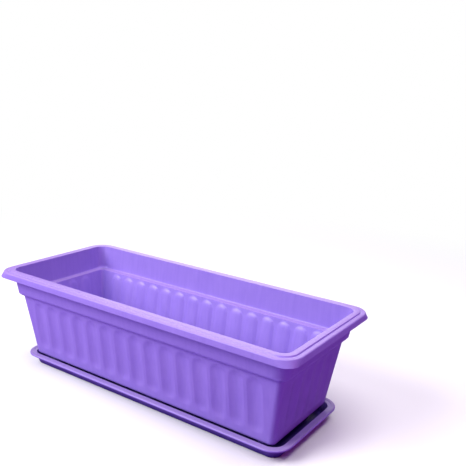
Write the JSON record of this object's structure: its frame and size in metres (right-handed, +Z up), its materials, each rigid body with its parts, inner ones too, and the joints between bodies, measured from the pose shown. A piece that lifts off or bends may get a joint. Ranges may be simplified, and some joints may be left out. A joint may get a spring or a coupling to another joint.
{
  "type": "window box planter with drip tray",
  "caption": "Long rectangular planter box with a flat rim, smooth collar and fluted drafted walls, standing in a shallow drip tray with a raised lip edge.",
  "frame": {"origin": "middle of the drip tray's flat underside, on the surface that the tray stands on", "axes": "+X along the planter's length, +Y across it, +Z up out of the planter's mouth"},
  "size_m": [0.43, 0.185, 0.1292],
  "materials": {
    "planter_plastic": "lilac injection-moulded polypropylene with a satin sheen and faint vertical streaks",
    "tray_plastic": "the same lilac moulded polypropylene as the planter"
  },
  "bodies": {
    "tray": {"drip_tray": "tray_plastic"},
    "planter": {"planter_box": "planter_plastic"}
  },
  "joints": [
    {"name": "planter_lift", "type": "slide", "parent": "tray", "child": "planter", "axis": [0, 0, 1], "range_m": [0, 0.15]}
  ]
}
